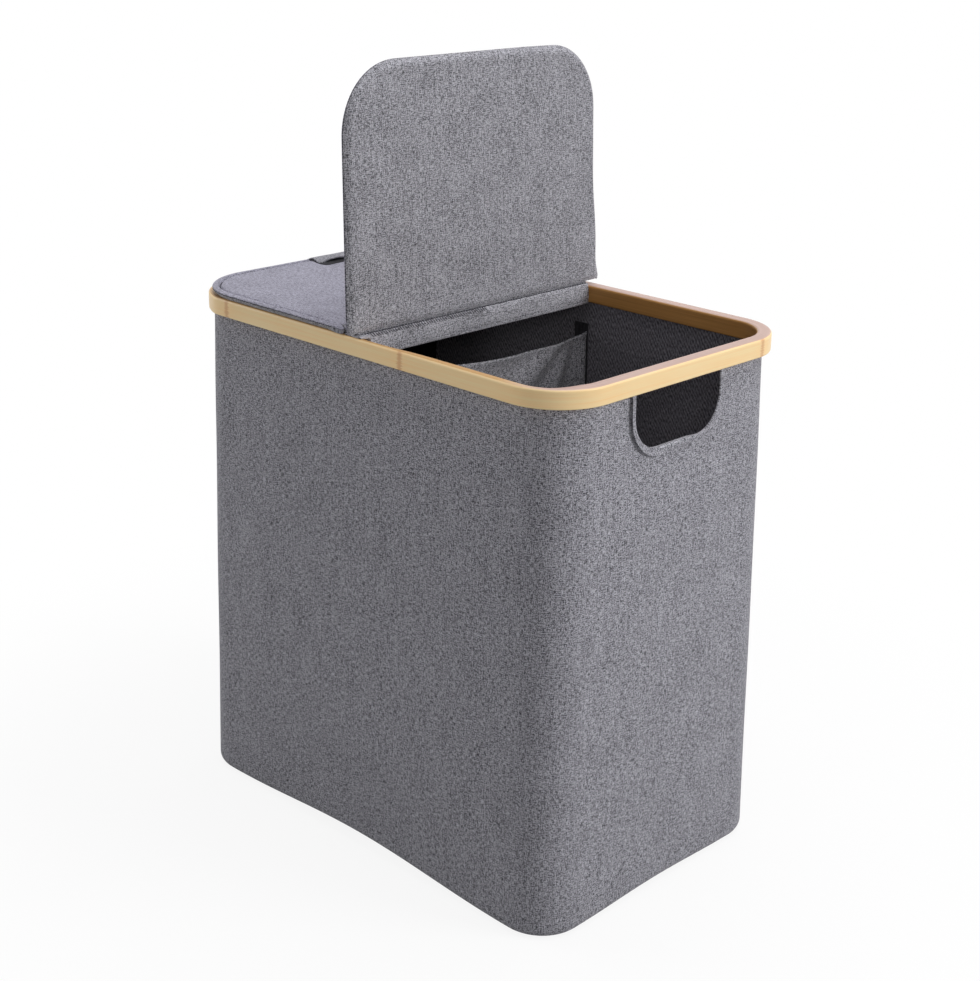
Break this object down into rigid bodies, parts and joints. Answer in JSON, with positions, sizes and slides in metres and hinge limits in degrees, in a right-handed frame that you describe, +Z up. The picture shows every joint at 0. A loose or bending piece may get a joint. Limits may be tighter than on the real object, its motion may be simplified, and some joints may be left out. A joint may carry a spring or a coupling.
{
  "type": "laundry hamper with two bins",
  "caption": "Tall fabric laundry hamper hung from a bamboo rim, split into bins by a hanging divider, with hinged fabric lids, pull tabs and hand holes in its ends.",
  "frame": {"origin": "on the floor, under the middle of the rim", "axes": "+X along the long side, towards the bin whose lid stands open; +Y towards the back long side; +Z up"},
  "size_m": [0.58, 0.377, 0.8727],
  "materials": {
    "bamboo": "bent bamboo, satin lacquer",
    "slat_wood": "bamboo slat, bare",
    "grey_fabric": "woven linen look, mottled grey",
    "lid_fabric": "woven linen look, mottled grey",
    "dark_lining": "dark non-woven lining",
    "black_fabric": "black webbing and lining cloth",
    "board": "raw fibre board, hidden in the lid",
    "steel": "plain steel rod",
    "black_plastic": "moulded, matte"
  },
  "bodies": {
    "hamper_body": {"rim_hoop": "bamboo", "outer_shell": "grey_fabric", "bottom_panel": "dark_lining", "lining": "dark_lining", "handle_facing_right": "grey_fabric", "handle_facing_left": "grey_fabric", "rod_foot_front_left": "black_plastic", "rod_front_left": "steel", "rod_cap_front_left": "black_plastic", "rod_pocket_front_left": "black_fabric", "rod_foot_front_right": "black_plastic", "rod_front_right": "steel", "rod_cap_front_right": "black_plastic", "rod_pocket_front_right": "black_fabric", "rod_foot_back_left": "black_plastic", "rod_back_left": "steel", "rod_cap_back_left": "black_plastic", "rod_pocket_back_left": "black_fabric", "rod_foot_back_right": "black_plastic", "rod_back_right": "steel", "rod_cap_back_right": "black_plastic", "rod_pocket_back_right": "black_fabric", "crossbar_slat": "slat_wood", "crossbar_sleeve": "lid_fabric", "hinge_strip": "lid_fabric", "divider_tape_front": "black_fabric", "divider_tape_back": "black_fabric", "divider_panel": "grey_fabric", "base_board_right": "dark_lining", "base_board_left": "dark_lining"},
    "right_lid": {"lid_cover_right": "lid_fabric", "lid_board_right": "board", "lid_lining_right": "lid_fabric", "pull_tab_right": "lid_fabric"},
    "left_lid": {"lid_cover_left": "lid_fabric", "lid_board_left": "board", "lid_lining_left": "lid_fabric", "pull_tab_left": "lid_fabric"}
  },
  "joints": [
    {"name": "right_lid_hinge", "type": "hinge", "parent": "hamper_body", "child": "right_lid", "pos_m": [0.009, 0, 0.6], "axis": [0, 1, 0], "range_deg": [0, 92.4]},
    {"name": "left_lid_hinge", "type": "hinge", "parent": "hamper_body", "child": "left_lid", "pos_m": [-0.009, 0, 0.6], "axis": [0, 1, 0], "range_deg": [0, 84]}
  ]
}
